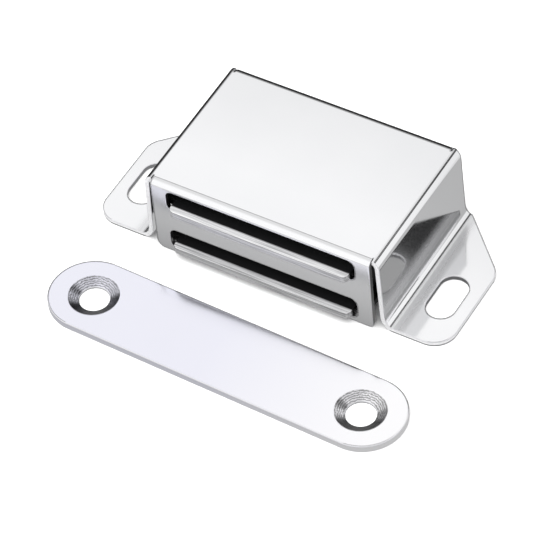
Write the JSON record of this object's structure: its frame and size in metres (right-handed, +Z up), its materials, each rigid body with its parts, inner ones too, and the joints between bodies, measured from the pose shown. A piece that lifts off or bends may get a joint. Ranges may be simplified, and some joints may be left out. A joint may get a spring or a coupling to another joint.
{
  "type": "magnetic door stop",
  "caption": "Magnetic door catch: folded stainless case with slotted front, floating magnet pack and slotted fixing ears, with a flat countersunk strike plate.",
  "frame": {"origin": "midway between the two slotted screw holes of the ears, on the mounting surface", "axes": "+X along the catch from ear to ear, +Y from the slotted front flap to the rear flap, +Z up from the mounting surface"},
  "size_m": [0.0618, 0.0481, 0.0142],
  "materials": {
    "polished_stainless": "bright rolled and polished stainless sheet",
    "strike_stainless": "polished stainless strip with turned countersinks",
    "pole_steel": "mild steel with bright ground noses",
    "ferrite": "dull sintered ferrite"
  },
  "bodies": {
    "case": {"housing": "polished_stainless", "strike_plate": "strike_stainless"},
    "magnet_pack": {"upper_pole_plate": "pole_steel", "lower_pole_plate": "pole_steel", "magnet": "ferrite"}
  },
  "joints": [
    {"name": "magnet_float", "type": "slide", "parent": "case", "child": "magnet_pack", "axis": [0, 0, 1], "range_m": [0, 0.0024]}
  ]
}
